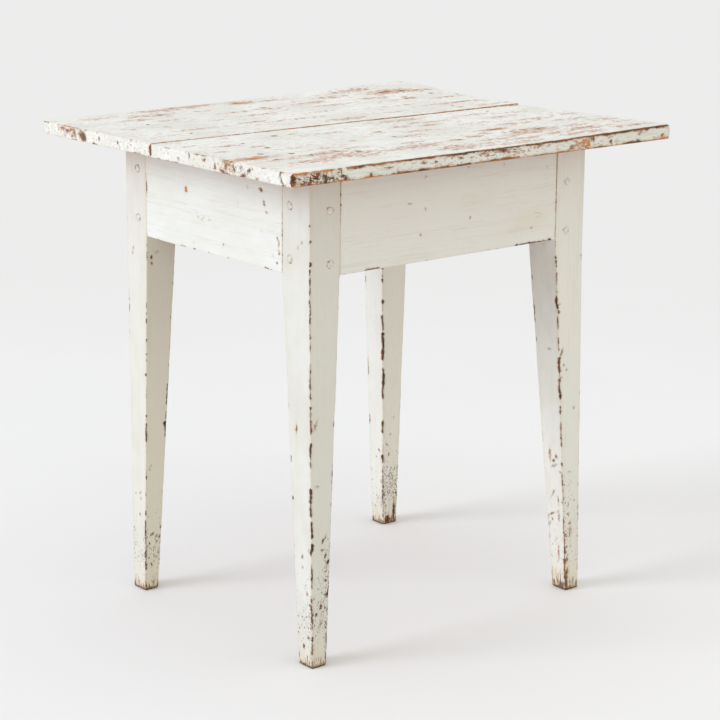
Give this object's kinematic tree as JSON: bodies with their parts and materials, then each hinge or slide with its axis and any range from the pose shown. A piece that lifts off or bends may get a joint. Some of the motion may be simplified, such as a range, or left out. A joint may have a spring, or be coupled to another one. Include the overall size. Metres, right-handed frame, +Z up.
{
  "type": "side table",
  "caption": "Small rustic side table in worn white paint: a wide plank top with an open joint, nailed to a pegged apron frame on tapered legs.",
  "frame": {"origin": "on the floor, under the middle of the top's bounding box", "axes": "+Z up; +X along the longer side of the table and of its boards; -Y towards the front apron and the wider board, so -X is the left end"},
  "size_m": [0.7328, 0.63, 0.74],
  "materials": {
    "painted_frame": "old white paint over brown wood, chipped to the wood along the arrises and at the feet",
    "worn_top": "white paint rubbed through to reddish brown wood along the grain, bare worn edges",
    "painted_pegs": "wooden pegs trimmed flush and painted over",
    "nails": "dark rusted iron"
  },
  "bodies": {
    "root": {"front_left_leg": "painted_frame", "front_right_leg": "painted_frame", "rear_left_leg": "painted_frame", "rear_right_leg": "painted_frame", "front_apron": "painted_frame", "rear_apron": "painted_frame", "left_apron": "painted_frame", "right_apron": "painted_frame", "front_top_board": "worn_top", "rear_top_board": "worn_top", "front_apron_left_pegs": "painted_pegs", "front_apron_right_pegs": "painted_pegs", "rear_apron_left_pegs": "painted_pegs", "rear_apron_right_pegs": "painted_pegs", "left_apron_front_pegs": "painted_pegs", "left_apron_rear_pegs": "painted_pegs", "right_apron_front_pegs": "painted_pegs", "right_apron_rear_pegs": "painted_pegs", "front_board_left_nails": "nails", "front_board_right_nails": "nails", "rear_board_left_nails": "nails", "rear_board_right_nails": "nails"}
  },
  "joints": []
}
